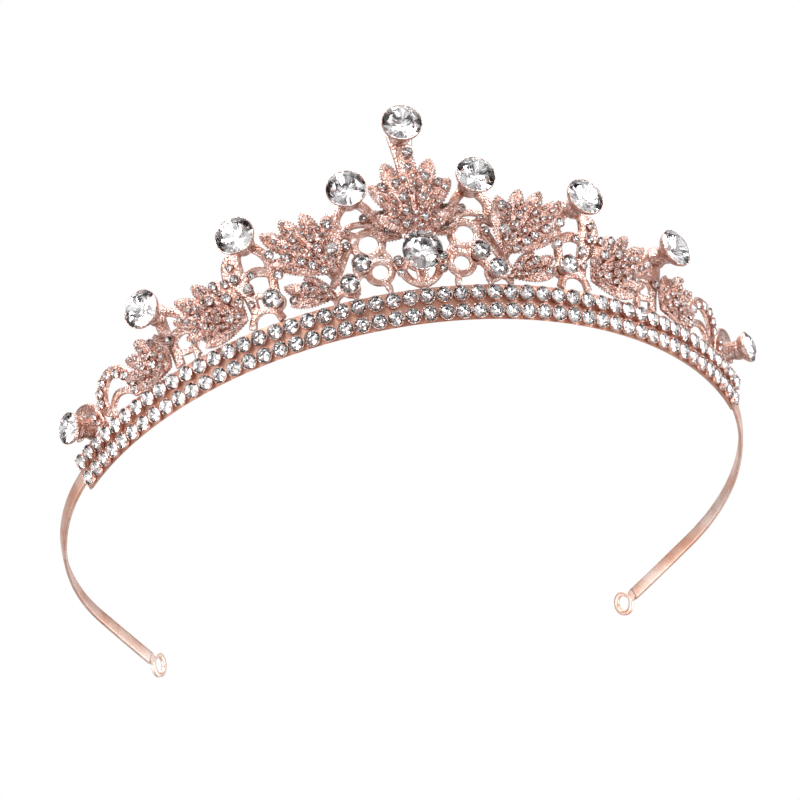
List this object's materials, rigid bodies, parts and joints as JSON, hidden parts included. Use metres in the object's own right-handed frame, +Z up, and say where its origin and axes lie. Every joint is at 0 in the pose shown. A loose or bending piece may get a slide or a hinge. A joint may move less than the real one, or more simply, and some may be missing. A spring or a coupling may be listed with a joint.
{
  "type": "bridal tiara",
  "caption": "Rose-gold bridal tiara: a sprung strap with end loops, two rows of set stones, and a front of pave leaves, vines and claw-set clear crystals.",
  "frame": {"origin": "centre of the footprint, on the table that the rail's foot stands on", "axes": "+X towards the wearer's left, +Y from the forehead to the back of the head, +Z up"},
  "size_m": [0.1514, 0.1472, 0.0418],
  "materials": {
    "strap_metal": "rose-gold plated alloy, polished",
    "frame_metal": "rose-gold plated casting, satin in its hollows",
    "leaf_metal": "rose-gold plated casting, finely grained",
    "scroll_metal": "rose-gold plated casting, polished",
    "setting_metal": "rose-gold plated cup, polished inside and out",
    "row_stones": "clear foil-backed rhinestones in rose-gold cups",
    "crystal": "clear foil-backed brilliant-cut crystal"
  },
  "bodies": {
    "root": {"head_strap": "strap_metal", "end_loop_left": "strap_metal", "end_loop_right": "strap_metal", "front_rail": "strap_metal", "lower_stone_row": "row_stones", "upper_stone_row": "row_stones", "centre_stem": "frame_metal", "inner_vine_left": "frame_metal", "inner_vine_right": "frame_metal", "middle_vine_left": "frame_metal", "middle_vine_right": "frame_metal", "outer_vine_left": "frame_metal", "outer_vine_right": "frame_metal", "centre_leaf": "leaf_metal", "petal_left": "leaf_metal", "petal_right": "leaf_metal", "maple_leaf_left": "leaf_metal", "maple_leaf_right": "leaf_metal", "trailing_leaf_left": "leaf_metal", "trailing_leaf_right": "leaf_metal", "side_leaf_left": "leaf_metal", "side_leaf_right": "leaf_metal", "outer_leaf_left": "leaf_metal", "outer_leaf_right": "leaf_metal", "scroll_left": "scroll_metal", "scroll_right": "scroll_metal", "end_curl_left": "scroll_metal", "end_curl_right": "scroll_metal", "top_setting_centre": "setting_metal", "top_setting_left_1": "setting_metal", "top_setting_left_2": "setting_metal", "top_setting_left_3": "setting_metal", "top_setting_left_4": "setting_metal", "top_setting_right_1": "setting_metal", "top_setting_right_2": "setting_metal", "top_setting_right_3": "setting_metal", "top_setting_right_4": "setting_metal", "centre_setting": "setting_metal", "side_setting_left_1": "setting_metal", "side_setting_left_2": "setting_metal", "side_setting_left_3": "setting_metal", "side_setting_right_1": "setting_metal", "side_setting_right_2": "setting_metal", "side_setting_right_3": "setting_metal", "top_crystal_centre": "crystal", "top_crystal_left_1": "crystal", "top_crystal_left_2": "crystal", "top_crystal_left_3": "crystal", "top_crystal_left_4": "crystal", "top_crystal_right_1": "crystal", "top_crystal_right_2": "crystal", "top_crystal_right_3": "crystal", "top_crystal_right_4": "crystal", "centre_crystal": "crystal", "side_crystal_left_1": "crystal", "side_crystal_left_2": "crystal", "side_crystal_left_3": "crystal", "side_crystal_right_1": "crystal", "side_crystal_right_2": "crystal", "side_crystal_right_3": "crystal"}
  },
  "joints": []
}
